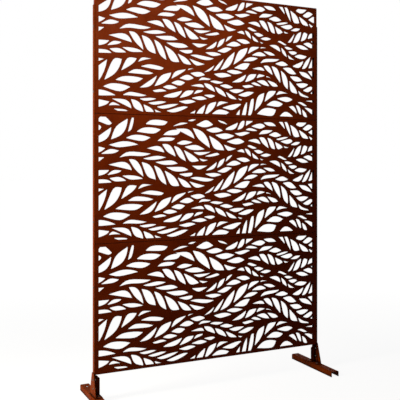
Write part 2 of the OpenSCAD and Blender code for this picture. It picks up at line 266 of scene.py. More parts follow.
@node_group("Shader", "Edge rub", ("Mask",), Vector="Vector", Radius=1.5 * MM, Breakup=60.0)
def edge_rub(wiring: Wiring, given: object) -> Sockets:
    """Masks rubbed edges, broken up by noise.

    Args:
        wiring: The group's wiring.
        given: The group's inputs.

    Returns:
        The mask.
    """
    rounded = wiring.add("Bevel", {"samples": 4}, radius=given["Radius"])
    normal = wiring.add("NewGeometry").outputs["Normal"]
    agree = wiring.join(wiring.add("VectorMath", {"operation": "DOT_PRODUCT"}), rounded, normal)
    edge = wiring.spread(agree, low=0.995, high=0.85)
    breakup = wiring.noise(given["Vector"], given["Breakup"], detail=3.0, roughness=0.6)
    return (wiring.sum("MULTIPLY", edge, wiring.spread(breakup, 0.42, 0.62, 0.15)),)


@node_group("Shader", "Settled dust", ("Mask",), Vector="Vector", Patches=45.0)
def settled_dust(wiring: Wiring, given: object) -> Sockets:
    """Masks dust lying on what faces up.

    Args:
        wiring: The group's wiring.
        given: The group's inputs.

    Returns:
        The mask.
    """
    facing = wiring.add("SeparateXYZ")
    wiring.join(facing, wiring.add("NewGeometry").outputs["Normal"])
    level = wiring.spread(facing.outputs["Z"], low=0.55, high=0.98)
    patches = wiring.noise(given["Vector"], given["Patches"], detail=5.0, roughness=0.65)
    return (wiring.sum("MULTIPLY", level, wiring.spread(patches, 0.35, 0.7, 0.25)),)


# Painted shade: ambient occlusion picks out folds and seams, which the coat darkens to near black.
@node_group("Shader", "Painted crevice shade", ("Mask",), Reach=12.0 * MM)
def crevice_grime(wiring: Wiring, given: object) -> Sockets:
    """Masks narrow folds and seams for painted shade, by how hidden ambient occlusion finds them.
    """
    hidden = wiring.add("AmbientOcclusion", {"samples": 8}, distance=given["Reach"])
    return (wiring.spread(hidden.outputs["AO"], 0.65, 0.99, 1.0, 0.0),)


def finished(wiring: Wiring, geometry: object, finish: NodeSocket) -> Sockets:
    """Returns geometry with its instances made real and its material set."""
    solid = wiring.add("RealizeInstances", geometry=geometry)
    return wiring.add("SetMaterial", geometry=solid, material=finish).outputs[:1]


@node_group(
    "Geometry", "Fastener row", ("Fasteners",),
    Places="Geometry", Shape="Object", Outward="Vector", Seed=1, Finish="Material",
)
def fastener_row(wiring: Wiring, given: object) -> Sockets:
    """Sets one fastener on each point, turned about its axis by chance.

    Args:
        wiring: The group's wiring.
        given: The group's inputs.

    Returns:
        The fasteners.
    """
    shape = wiring.add("ObjectInfo", {"transform_space": "ORIGINAL"}, object=given["Shape"])
    chance = wiring.add("FunctionNodeRandomValue", max=FULL_TURN, seed=given["Seed"])
    angle = next(s for s in chance.outputs if s.enabled)
    turn = wiring.add("FunctionNodeAxisAngleToRotation", axis=UP, angle=angle)
    tilt = wiring.add("FunctionNodeAlignRotationToVector", {"axis": "Z"}, vector=given["Outward"])
    points = wiring.add("MeshToPoints", mesh=given["Places"])
    inputs = {"points": points, "instance": shape.outputs["Geometry"], "rotation": tilt}
    placed = wiring.add("InstanceOnPoints", **inputs)
    spun = wiring.add("RotateInstances", instances=placed, rotation=turn, local_space=True)
    return finished(wiring, spun, given["Finish"])


@node_group(
    "Geometry", "Weld bead", ("Beads",),
    Lines="Geometry", Radius=2.0 * MM, Ripple=0.1, Pitch=1.6 * MM, Finish="Material",
)
def weld_bead(wiring: Wiring, given: object) -> Sockets:
    """Lays a rippled weld bead along each line of edges.

    Args:
        wiring: The group's wiring.
        given: The group's inputs.

    Returns:
        The beads.
    """
    line = wiring.add("MeshToCurve", mesh=given["Lines"])
    step = wiring.sum("DIVIDE", given["Pitch"], 6.0)
    cut = wiring.add("ResampleCurve", {"mode": "LENGTH"}, curve=line, length=step)
    along = wiring.add("SplineParameter").outputs["Length"]
    phase = wiring.sum("MULTIPLY", wiring.sum("DIVIDE", along, given["Pitch"]), FULL_TURN)
    swell = wiring.sum("MULTIPLY", wiring.sum("SINE", phase), given["Ripple"])
    radius = wiring.sum("MULTIPLY", wiring.sum("ADD", swell, 1.0), given["Radius"])
    section = wiring.add("CurvePrimitiveCircle", resolution=12, radius=1.0)
    inputs = {"curve": cut, "profile_curve": section, "scale": radius, "fill_caps": True}
    return finished(wiring, wiring.add("CurveToMesh", **inputs), given["Finish"])


# ---- Finishes


def srgb(red: int, green: int, blue: int) -> Triple:
    """Turns an 8-bit sRGB colour into a linear one.

    Args:
        red: Red, from 0 to 255.
        green: Green, from 0 to 255.
        blue: Blue, from 0 to 255.

    Returns:
        The linear colour.
    """

    def linear(level: int) -> float:
        """Returns one channel's linear value."""
        share = level / 255
        return share / 12.92 if share <= 0.04045 else ((share + 0.055) / 1.055) ** 2.4

    return (linear(red), linear(green), linear(blue))


def cleared(block: Material | bpy.types.World) -> Wiring:
    """Empties a node tree.

    Args:
        block: The material or the world that has the tree.

    Returns:
        The tree's wiring.
    """
    block.use_nodes = True
    block.node_tree.nodes.clear()
    return Wiring(block.node_tree)


def new_material(name: str) -> tuple[Material, Wiring, Node, NodeSocket]:
    """Starts a material.

    Args:
        name: The material's name.

    Returns:
        The material, its wiring, its Principled shader and the place that patterns are read at.
    """
    material = bpy.data.materials.new(name)
    wiring = cleared(material)
    shader = wiring.add("BsdfPrincipled")
    wiring.add("OutputMaterial", surface=shader)
    return material, wiring, shader, wiring.add("TexCoord").outputs["Object"]


@dataclass(frozen=True)
class RustCoat:
    """A matt rust-brown powder coat, rougher in its deep clouds than in its bright ones."""

    name: str
    body: Triple = srgb(160, 55, 7)
    deep: Triple = srgb(134, 42, 5)
    speck: Triple = srgb(176, 76, 18)
    rubbed: Triple = srgb(178, 84, 28)
    dust: Triple = srgb(150, 88, 44)
    # Painted shade: the near-black colour laid in folds and seams.
    grime: Triple = srgb(22, 8, 3)
    patches: float = 5.0
    specking: float = 0.35
    rub_radius: float = 1.4 * MM
    rub: float = 0.45
    dusting: float = 0.15
    # Share of the painted shade in folds and seams.
    griming: float = 0.95
    roughness: Point = (0.5, 0.38)
    grain: float = 0.35
    grain_height: float = 0.3 * MM
    specular: float = 0.05
    sheen: Triple = srgb(255, 200, 150)

    def material(self) -> Material:
        """Makes the coat.

        Returns:
            The new material.
        """
        material, wiring, shader, place = new_material(self.name)
        clouds = wiring.group(clouding(), vector=place, patches=self.patches)
        rub = wiring.group(edge_rub(), vector=place, radius=self.rub_radius)
        dust = wiring.group(settled_dust(), vector=place)
        colour = wiring.blend(clouds["Clouds"], self.deep, self.body)
        for mask, share, over in (
            (clouds["Specks"], self.specking, self.speck),
            (rub["Mask"], self.rub, self.rubbed),
            (dust["Mask"], self.dusting, self.dust),
            # Painted shade: folds and seams darkened to near black, where ambient occlusion finds
            # them hidden.
            (wiring.group(crevice_grime())["Mask"], self.griming, self.grime),
        ):
            colour = wiring.blend(wiring.sum("MULTIPLY", mask, share), colour, over)
        roughness = wiring.spread(clouds["Clouds"], 0.0, 1.0, *self.roughness)
        height = wiring.group(coat_grain(), vector=place)["Height"]
        inputs = {"strength": self.grain, "distance": self.grain_height, "height": height}
        normal = wiring.add("Bump", **inputs).outputs["Normal"]
        wiring.feed(shader, base_color=colour, roughness=roughness, normal=normal)
        wiring.feed(shader, specular_ior_level=self.specular, specular_tint=self.sheen)
        return material


@dataclass(frozen=True)
class DarkZinc:
    """Dull dark zinc on bolts and nuts, with brighter corners."""

    name: str
    body: Triple = srgb(96, 86, 78)
    dull: Triple = srgb(62, 54, 48)
    bright: Triple = srgb(160, 150, 140)
    patches: float = 90.0
    blotches: float = 420.0
    rub_radius: float = 0.5 * MM
    breakup: float = 300.0
    roughness: Point = (0.54, 0.36)
    metallic: float = 0.9

    def material(self) -> Material:
        """Makes the plating.

        Returns:
            The new material.
        """
        material, wiring, shader, place = new_material(self.name)
        inputs = {"vector": place, "patches": self.patches, "blotches": self.blotches}
        clouds = wiring.group(clouding(), **inputs)["Clouds"]
        rub = wiring.group(edge_rub(), vector=place, radius=self.rub_radius, breakup=self.breakup)
        colour = wiring.blend(clouds, self.dull, self.body)
        colour = wiring.blend(rub["Mask"], colour, self.bright)
        roughness = wiring.spread(clouds, 0.0, 1.0, *self.roughness)
        wiring.feed(shader, base_color=colour, roughness=roughness, metallic=self.metallic)
        return material


# ---- Repeated pieces


def in_scene(name: str, data: object) -> Object:
    """Puts something in the scene at the origin.

    Args:
        name: The object's name.
        data: Its mesh, lamp or camera.

    Returns:
        The object.
    """
    made = bpy.data.objects.new(name, data)
    bpy.context.scene.collection.objects.link(made)
    return made


def finished_mesh(work: bmesh.types.BMesh, name: str, finish: Material | None = None) -> Mesh:
    """Turns an edited mesh into a plain one.

    Args:
        work: The edited mesh, which is freed.
        name: The plain mesh's name.
        finish: Its material, if it gets one here.

    Returns:
        The plain mesh.
    """
    mesh = bpy.data.meshes.new(name)
    work.to_mesh(mesh)
    work.free()
    if finish:
        mesh.materials.append(finish)
    return mesh


def hexagon(flats: float) -> Callable[[float], float]:
    """Returns the radius of a hexagon, by angle, from its size across flats."""
    sixth = math.pi / 3
    return lambda angle: flats / 2 / math.cos((angle + sixth / 2) % sixth - sixth / 2)


def turned_mesh(name: str, profile: Profile, sides: int, closed: bool) -> Mesh:
    """Sweeps a profile round Z.

    Args:
        name: The mesh's name.
        profile: Radius and height of each ring, as numbers or as functions of the angle.
        sides: How many sides a ring has.
        closed: True to join the last ring to the first, False to cap both ends.

    Returns:
        The mesh, facing outwards.
    """
    work = bmesh.new()
    rows = []
    for levels in profile:
        row = []
        for angle in (FULL_TURN * i / sides for i in range(sides)):
            radius, height = (level(angle) if callable(level) else level for level in levels)
            row.append(work.verts.new((radius * math.cos(angle), radius * math.sin(angle), height)))
        rows.append(row)
    pairs = list(zip(rows, rows[1:]))
    if closed:
        pairs.append((rows[-1], rows[0]))
    else:
        work.faces.new(rows[0])
        work.faces.new(rows[-1])
    for lower, upper in pairs:
        for i in range(sides):
            j = (i + 1) % sides
            work.faces.new((lower[i], lower[j], upper[j], upper[i]))
    bmesh.ops.recalc_face_normals(work, faces=work.faces)
    return finished_mesh(work, name)


@dataclass(frozen=True)
class BoltShape:
    """A round-headed bolt with a hexagon socket, its head seated on z = 0."""

    head_d: float
    length: float
    head_h: float = 3.4 * MM
    shank_d: float = 6.0 * MM
    socket_flats: float = 4.0 * MM
    socket_lip: float = 0.25 * MM
    socket_chamfer: float = 0.15 * MM
    socket_floor: Point = (0.42, 0.45)
    cone: float = 0.3
    head_edge: float = 0.985
    head_steps: int = 7
    neck: Point = (0.2 * MM, 0.3 * MM)
    tip_chamfer: float = 0.25 * MM
    pitch: float = 1.0 * MM
    thread_depth: float = 0.45 * MM
    threaded: float = 9.0 * MM
    thread_end: float = 0.6 * MM
    turn_steps: int = 4
    sides: int = 24

    def mesh(self, name: str) -> Mesh:
        """Makes the bolt.

        Args:
            name: The mesh's name.

        Returns:
            The bolt as a closed mesh.
        """
        shank, head, depth, tip = self.shank_d / 2, self.head_d / 2, self.thread_depth, -self.length
        socket_r = hexagon(self.socket_flats)
        rim = self.socket_flats / 2 / math.cos(math.pi / 6) + self.socket_lip
        dome_r = (self.head_d**2 / 4 + self.head_h**2) / (2 * self.head_h)

        def dome(radius: float) -> float:
            """Returns the dome's height at a radius."""
            return math.sqrt(dome_r**2 - radius**2) - dome_r + self.head_h

        middle, edge = (self.head_h * share for share in self.socket_floor)
        profile: Profile = [(lambda angle: self.cone * socket_r(angle), middle), (socket_r, edge)]
        profile.append((socket_r, dome(rim) - self.socket_chamfer))
        for i in range(self.head_steps):
            radius = rim + (head * self.head_edge - rim) * i / (self.head_steps - 1)
            profile.append((radius, dome(radius)))
        profile += [(head, 0.0), (shank + self.neck[0], 0.0), (shank, -self.neck[1])]
        profile += self.thread()
        profile += [(shank - depth, tip + self.tip_chamfer), (shank - 2 * depth, tip)]
        return turned_mesh(name, profile, self.sides, closed=False)

    def thread(self) -> Profile:
        """Works out the threaded end, which winds down as one helix.

        Returns:
            The end's rings.
        """
        top = -self.length + self.threaded
        drop = self.pitch / self.turn_steps
        steps = round((self.threaded - self.thread_end) / drop)

        def radius_at(height: float) -> Callable[[float], float]:
            """Works out the thread at a height.

            Args:
                height: The height.

            Returns:
                The thread's radius, by angle.
            """

            def radius(angle: float) -> float:
                """Returns the radius, least at the thread's root."""
                turn = (height / self.pitch - angle / FULL_TURN) % 1.0
                return self.shank_d / 2 - self.thread_depth * (1 - abs(2 * turn - 1))

            return radius

        heights = [top - i * drop for i in range(steps)]
        return [(radius_at(height), height) for height in heights]


@dataclass(frozen=True)
class NutShape:
    """A hexagon nut with chamfered corners, its middle at the origin."""

    flats: float
    height: float
    bore_d: float = 6.1 * MM
    lead: float = 0.4 * MM
    face: float = 0.96
    slope: float = math.tan(math.pi / 6)
    sides: int = 24

    def mesh(self, name: str) -> Mesh:
        """Makes the nut.

        Args:
            name: The mesh's name.

        Returns:
            The nut as a closed mesh.
        """
        outline = hexagon(self.flats)
        bore, round_r, half = self.bore_d / 2, self.flats / 2 * self.face, self.height / 2

        def corner(angle: float) -> float:
            """Returns the height of the chamfer's edge at an angle."""
            return half - (outline(angle) - round_r) * self.slope

        lead = self.lead
        profile = [(bore, lead - half), (bore, half - lead), (bore + lead, half), (round_r, half)]
        profile += [(outline, corner), (outline, lambda angle: -corner(angle))]
        profile += [(round_r, -half), (bore + lead, -half)]
        return turned_mesh(name, profile, self.sides, closed=True)


def grown(name: str, seed_mesh: Mesh, tree: NodeTree, values: dict) -> Object:
    """Runs a tree on a mesh and keeps the result as a plain one.

    Args:
        name: The finished object's name.
        seed_mesh: The points or edges that the tree starts from.
        tree: The Geometry Nodes tree.
        values: The tree's inputs, by name.

    Returns:
        The finished object, with no modifier.
    """
    carrier = in_scene(name + "_seed", seed_mesh)
    modifier = carrier.modifiers.new("Growth", "NODES")
    modifier.node_group = tree
    for item in tree.interface.items_tree:
        if item.item_type == "SOCKET" and item.in_out == "INPUT" and item.name in values:
            modifier[item.identifier] = values[item.name]
    graph = bpy.context.evaluated_depsgraph_get()
    graph.update()
    mesh = bpy.data.meshes.new_from_object(carrier.evaluated_get(graph), depsgraph=graph)
    bpy.data.objects.remove(carrier)
    mesh.name = name
    return in_scene(name, mesh)


def ride(piece: Object, nodes: tuple[str, ...] = ()) -> None:
    """Fixes a finished piece to the screen.

    Args:
        piece: The piece, in place.
        nodes: The CAD nodes that it stands for.
    """
    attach(piece, BODY)
    if nodes:
        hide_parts(*nodes)
    LOG.info("%s: %d faces", piece.name, len(piece.data.polygons))


# ---- Sub-assemblies


class Slot(Enum):
    """The record's material slots."""

    PANELS = "panel_paint"
    FRAME = "frame_paint"
    BOLTS = "zinc_steel"


class Axis(Enum):
    """The axis that a row of fasteners runs along."""

    X = 0
    Y = 1
    Z = 2


@dataclass
class CoatedParts:
    """CAD nodes whose shape stands as it is, under one coat."""

    nodes: tuple[str, ...]
    coat: RustCoat

    def dress(self) -> None:
        """Gives each node the coat."""
        material = self.coat.material()
        for name in self.nodes:
            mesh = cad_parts[name].data
            mesh.materials.clear()
            mesh.materials.append(material)
            LOG.info("%s: coated", name)


@dataclass
class FastenerRow:
    """One node's row of bolts or nuts, made in full."""

    node: str
    along: Axis
    outward: Triple
    seed: int
    least_gap: float = 12 * MM

    def boxes(self) -> list[tuple[Vector, Vector]]:
        """Finds each fastener in the CAD node.

        Returns:
            The lowest and the highest corner of each, in order.
        """
        axis = self.along.value
        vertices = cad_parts[self.node].data.vertices
        points = sorted((v.co.copy() for v in vertices), key=lambda point: point[axis])
        groups: list[Path] = [[points[0]]]
        for before, point in zip(points, points[1:]):
            if point[axis] - before[axis] > self.least_gap:
                groups.append([])
            groups[-1].append(point)
        return [
            tuple(Vector([pick(p[i] for p in group) for i in range(3)]) for pick in (min, max))
            for group in groups
        ]

    def build(self, finish: Material) -> None:
        """Makes the row and puts it in the node's place.

        Args:
            finish: The fasteners' material.
        """
        boxes = self.boxes()
        out = Vector(self.outward)
        size = boxes[0][1] - boxes[0][0]
        depth = abs(size.dot(out))
        if self.node.endswith("bolts"):
            shape = BoltShape(size[self.along.value], depth - BoltShape.head_h)
            shift = depth / 2 - shape.head_h
        else:
            shape = NutShape(min(size[i] for i in range(3) if not out[i]), depth)
            shift = 0.0
        pattern = in_scene(self.node + "_pattern", shape.mesh(self.node + "_shape"))
        places = bpy.data.meshes.new(self.node + "_places")
        places.from_pydata([(low + high) / 2 + out * shift for low, high in boxes], [], [])
        values = {"Shape": pattern, "Outward": self.outward, "Seed": self.seed, "Finish": finish}
        row = grown(self.node + "_row", places, fastener_row(), values)
        bpy.data.objects.remove(pattern)
        ride(row, (self.node,))


@dataclass
class BracketWelds:
    """The weld beads that hold one bracket's plates together."""

    side: str
    hand: int
    plate: float = 3.0 * MM
    inset: float = 3.0 * MM
    post_gap: float = 2.5 * MM
    radius: float = 1.9 * MM
    ripple: float = 0.1
    pitch: float = 1.7 * MM

    def ends(self) -> Path:
        """Finds the lines along which the bracket's plates meet.

        Returns:
            The two ends of each bead, one bead after the other.
        """
        low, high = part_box(self.side + "_bracket")
        post_low, post_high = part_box(self.side + "_post")
        outer, inner = (low.x, high.x) if self.hand < 0 else (high.x, low.x)
        upright = outer - self.hand * self.plate
        floor_z = low.z + self.plate
        middle = (post_low.y + post_high.y) / 2
        near_post = upright - self.hand * (self.plate + self.post_gap)
        inner_end = inner + self.hand * self.inset
        beads = (
            ((upright, low.y + self.inset), (upright, post_low.y - self.post_gap)),
            ((upright, post_high.y + self.post_gap), (upright, high.y - self.inset)),
            ((near_post, middle), (inner_end, middle)),
            ((near_post, middle + self.plate), (inner_end, middle + self.plate)),
        )
        return [Vector((*end, floor_z)) for bead in beads for end in bead]

    def build(self, finish: Material) -> None:
        """Lays the beads.

        Args:
            finish: The coat over them.
        """
        points = self.ends()
        seeds = bpy.data.meshes.new(self.side + "_weld_lines")
        seeds.from_pydata(points, [(i, i + 1) for i in range(0, len(points), 2)], [])
        values = {"Radius": self.radius, "Ripple": self.ripple, "Pitch": self.pitch}
        values["Finish"] = finish
        beads = grown(self.side + "_bracket_welds", seeds, weld_bead(), values)
        ride(beads)


# ---- Leaf-cut panels


@dataclass(frozen=True)
class Vein:
    """One vein: its place along the spine, its length and its lean from the spine."""

    place: float
    length: float
    lean: float


@dataclass(frozen=True)
class Row:
    """The veins on one side of a spine, with the lean of the first and the last in degrees."""

    leans: Point = (0, 0)
    places: tuple[float, ...] = ()
    lengths: tuple[float, ...] = ()

    def veins(self) -> list[Vein]:
        """Lists the row's veins.

        Returns:
            The veins in order.
        """
        first, last = (math.radians(lean) for lean in self.leans)
        count = len(self.places) - 1
        leans = (first + (last - first) * i / count for i in range(count + 1))
        return [Vein(*vein) for vein in zip(self.places, self.lengths, leans)]


@dataclass(frozen=True)
class Spray:
    """A curved spine with a row of leaves on each side.

    The spine's points are in millimetres from the panel's lower left corner, seen from the front.
    """

    size: float
    spine: tuple[Point, ...]
    left: Row = Row()
    right: Row = Row()

    def at(self, place: float) -> Vector:
        """Finds a point on the smooth curve through the spine's points.

        Args:
            place: Where it lies, counted in spine points.

        Returns:
            The point.
        """
        last = len(self.spine) - 1
        start = max(0, min(math.floor(place), last - 1))
        f = place - start
        a, b, c, d = (Vector(self.spine[max(0, min(last, start + i))]) for i in (-1, 0, 1, 2))
        bend = (2 * a - 5 * b + 4 * c - d) + f * (3 * b - a - 3 * c + d)
        return 0.5 * (2 * b + f * ((c - a) + f * bend))

    def heading(self, place: float, step: float = 0.01) -> Vector:
        """Returns the curve's direction at a place."""
        ahead = self.at(min(len(self.spine) - 1, place + step))
        return (ahead - self.at(max(0, place - step))).normalized()


SPRAYS = (
    Spray(1.5, ((-30, 105), (50, 145), (130, 193), (210, 238), (300, 262)),
        Row((44, 30), (0, 1, 2, 3, 4), (97, 118, 74, 31, 0)),
        Row((50, 23), (0, 0.8, 1.5, 2.25, 3.05, 4), (34, 87, 99, 105, 103, 76))),
    Spray(1.1,
        ((60, 372), (160, 398), (225, 385), (288, 368), (342, 343), (408, 310), (468, 290),
         (570, 262)), Row((25, 31), (0.6, 2.05, 3, 4, 5, 6, 7), (50, 72, 87, 90, 77, 30, 50)),
        Row((70, 24), (0, 1, 2, 3, 4, 5, 6, 7), (0, 58, 78, 78, 83, 57, 50, 0))),
    Spray(1.3, ((-5, 450), (75, 470), (145, 500), (195, 530), (240, 568), (280, 610)),
        Row((60, 40), (0, 1.05, 2.3, 3), (25, 66, 75, 60)),
        Row((34, 52), (0.85, 1.95, 2.95, 3.9, 4.7), (47, 86, 90, 94, 90))),
    Spray(1, ((190, 440), (250, 455), (297, 484), (325, 512), (352, 535), (385, 572), (450, 605)),
        right=Row((38, 50), (2, 3, 4.3), (74, 76, 66))),
    Spray(1, ((370, 553), (420, 577), (480, 600)), right=Row((16, 22), (0.2, 1.3), (50, 44))),
    Spray(1, ((440, 580), (500, 602)), right=Row((30, 30), (0.3, 1), (22, 16))),
    Spray(1, ((240, 447), (325, 470), (387, 462), (440, 442), (515, 403), (600, 393)),
        Row((44, 16), (2.2, 2.95, 3.6, 4.35, 5), (39, 63, 85, 71, 58)),
        Row((76, 16), (0.1, 1, 2, 3, 4.05, 4.95), (0, 45, 60, 70, 26, 0))),
    Spray(1.2, ((392, 546), (485, 552), (575, 515), (655, 473), (740, 448)),
        Row((46, 35), (1.15, 1.72, 2.3, 3.1, 4), (64, 59, 62, 69, 49)),
        Row((62, 31), (0, 1, 2, 3, 4), (0, 61, 73, 42, 0))),
    Spray(1, ((590, 600), (635, 590), (700, 575)), right=Row((30, 20), (0.7, 1.6), (18, 27))),
    Spray(1, ((470, 366), (540, 366), (610, 366)), right=Row((34, 34), (0.2, 1.45), (43, 0))),
    Spray(1, ((470, 318), (545, 325), (612, 337), (660, 368), (715, 400), (790, 408)),
        Row((58, 25), (1.1, 2.1, 3.1, 3.9), (0, 38, 28, 20)),
        Row((32, 42), (1.05, 2, 3, 4.05, 5), (44, 42, 48, 48, 27))),
    Spray(1, ((545, 212), (595, 222), (640, 230), (712, 262), (790, 320), (858, 352), (940, 352)),
        Row((46, 36), (0, 1, 1.9, 2.95, 4, 5, 5.7), (0, 36, 74, 80, 42, 12, 0)),
        Row((42, 30), (1, 2.35, 2.9, 3.55, 4.2, 5.2, 6), (38, 47, 67, 53, 54, 42, 28))),
    Spray(1.1, ((190, 118), (285, 128), (372, 168), (455, 215), (540, 232)),
        Row((50, 28), (0.3, 1.05, 2.05, 3.05, 3.6), (0, 65, 42, 11, 0)),
        Row((44, 46), (0.9, 1.45, 1.95, 2.45, 3.15, 4), (16, 35, 49, 45, 39, 26))),
    Spray(1, ((75, 78), (172, 80), (235, 57), (290, 35), (345, 15), (400, 0)),
        Row((30, 36), (0.6, 1.55, 2.3, 3.1, 4, 5), (40, 57, 65, 73, 90, 86)),
        Row((75, 30), (0.05, 1, 2, 3, 4), (0, 48, 42, 28, 0))),
    Spray(1, ((325, 82), (405, 78), (478, 98), (545, 115), (620, 118)),
        Row((40, 40), (0.1, 1.15, 2.2, 3), (18, 50, 25, 12)),
        Row((26, 34), (1.05, 1.95, 2.95, 3.8), (43, 47, 40, 10))),
    Spray(1, ((465, 155), (540, 173), (605, 158), (665, 135), (725, 108), (790, 95)),
        Row((34, 40), (0.7, 1.5, 2.35, 3.2, 4.05, 5), (26, 22, 37, 39, 57, 54)),
        Row((72, 14), (0.1, 1.05, 2, 3, 4.1, 5), (0, 24, 33, 38, 18, 0))),
    Spray(1.2, ((700, -80), (745, -45), (790, -10), (832, 30), (888, 78), (953, 115), (1060, 130)),
        Row((38, 40), (0, 1, 2, 3, 4, 5, 5.7), (90, 101, 106, 80, 62, 31, 0)),
        Row((50, 27), (3, 4, 5, 5.8), (98, 76, 63, 33))),
    Spray(1, ((935, -20), (1015, 70), (1100, -20)), right=Row((40, 40), (0, 1), (0, 95))),
    Spray(1, ((1015, 70), (1070, 84), (1112, 62), (1150, 32), (1190, 0)),
        Row((26, 45), (1.15, 2.15, 4), (25, 30, 50)),
        Row((78, 30), (0.2, 1, 2, 3), (0, 50, 38, 28))),
    Spray(1.1,
        ((800, 258), (875, 280), (925, 282), (983, 261), (1025, 222), (1065, 182), (1110, 148),
         (1190, 125)),
        Row((36, 60), (0.8, 2.3, 3.05, 4.05, 5, 6, 6.55, 7), (32, 48, 48, 51, 50, 54, 40, 40)),
        Row((72, 24), (0.15, 1, 2, 3, 4.3, 5.6, 6.6), (0, 29, 54, 77, 62, 32, 18))),
    Spray(1, ((775, 490), (850, 510), (905, 508), (947, 488), (995, 468), (1045, 458), (1100, 458)),
        Row((40, 36), (1, 2, 3, 3.55, 4.85, 5.8), (33, 45, 50, 64, 33, 26)),
        Row((76, 30), (0.15, 1, 1.9, 3, 4.05, 4.95), (0, 37, 60, 46, 14, 0))),
    Spray(1, ((940, 605), (1000, 600), (1042, 578), (1092, 553), (1145, 525), (1195, 500)),
        Row((72, 55), (2.5, 3.3, 3.95, 5), (25, 45, 48, 45)),
        Row((60, 26), (0.4, 1, 1.95, 3, 4.15, 5), (10, 52, 71, 48, 26, 0))),
    Spray(1, ((985, 398), (1050, 395), (1105, 408), (1150, 425), (1200, 435)),
        Row((62, 50), (0.55, 1.05, 1.95, 2.9, 4), (0, 55, 57, 32, 28)),
        Row((40, 55), (1.3, 2.15, 3.2, 4), (41, 52, 45, 40))),
    Spray(1, ((1035, 275), (1090, 262), (1140, 266), (1195, 275)),
        Row((58, 58), (0.3, 1.35, 2.15, 3), (8, 48, 70, 70)),
        Row((46, 62), (1, 2.05, 3), (31, 57, 50))),
    Spray(1, ((900, 385), (950, 395), (985, 380), (1025, 345), (1065, 322), (1130, 312)),
        Row((45, 50), (1.2, 2.25, 2.85, 3.85, 5), (16, 24, 37, 33, 24)),
        Row((50, 30), (0.2, 2, 3, 4.2), (0, 32, 24, 0))),
    Spray(1, ((650, 530), (720, 530), (765, 545), (800, 565), (860, 585), (940, 592)),
        Row((60, 45), (0.2, 1.15, 2.4, 3.5), (12, 42, 40, 20)),
        Row((30, 46), (0.85, 2.1, 3.05, 4.2, 5), (38, 44, 56, 30, 30))),
    Spray(1, ((712, 434), (765, 453), (810, 432), (850, 405), (905, 390)),
        Row((50, 34), (1.3, 2.15, 3.1, 4), (16, 28, 36, 33)),
        Row((70, 20), (0.2, 1.1, 2.1, 3.15, 3.9), (0, 25, 28, 12, 0))),
    Spray(1, ((690, 170), (765, 173), (835, 198), (885, 208), (965, 190)),
        Row((52, 42), (0.1, 1.1, 2.05, 3.05, 3.6), (0, 47, 26, 8, 0)),
        Row((45, 36), (0.85, 1.5, 2, 3.2, 4), (21, 30, 47, 44, 21))),
    Spray(1, ((440, -30), (495, -15), (550, 0), (615, 45), (690, 70), (770, 85)),
        Row((52, 38), (0, 1, 2, 3, 4), (30, 46, 63, 33, 0)),
        Row((42, 26), (2.5, 3.35, 4.75), (75, 60, 12))),
    Spray(1, ((-40, 300), (55, 308), (125, 320), (185, 322), (250, 300)),
        Row((40, 28), (0, 1.05, 2.1), (45, 38, 18)),
        Row((55, 25), (0, 1.15, 2.05, 3.9), (20, 30, 44, 5))),
    Spray(1, ((-60, 570), (15, 556), (62, 530), (90, 490)), Row((70, 75), (0.9, 2), (45, 24)),
        Row((60, 45), (0.95, 1.5), (32, 10))),
    Spray(1, ((-55, 405), (25, 406), (110, 408)), Row((38, 24), (0, 1.05, 2), (66, 50, 33)),
        Row((34, 34), (0, 1.35), (64, 0))),
    Spray(1, ((-60, 268), (0, 265), (60, 258)), right=Row((28, 28), (0, 2), (62, 0))),
    Spray(1, ((-60, 5), (15, 20), (80, 32), (170, 28)), Row((45, 35), (0, 1.8, 2.55), (72, 27, 0)),
        Row((26, 20), (2.1, 3), (38, 12))),
    Spray(1, ((1115, 94), (1165, 88), (1210, 78)), Row((50, 50), (0.3, 1.9), (0, 34))),
)


def turned(vector: Vector, angle: float) -> Vector:
    """Returns a flat vector turned anticlockwise."""
    return Matrix.Rotation(angle, 2) @ vector


def bezier(points: Path, share: float) -> Vector:
    """Finds a point on a Bezier curve of any number of points.

    Args:
        points: The curve's points.
        share: The share of the way along it.

    Returns:
        The point.
    """
    while len(points) > 1:
        points = [a.lerp(b, share) for a, b in zip(points, points[1:])]
    return points[0]


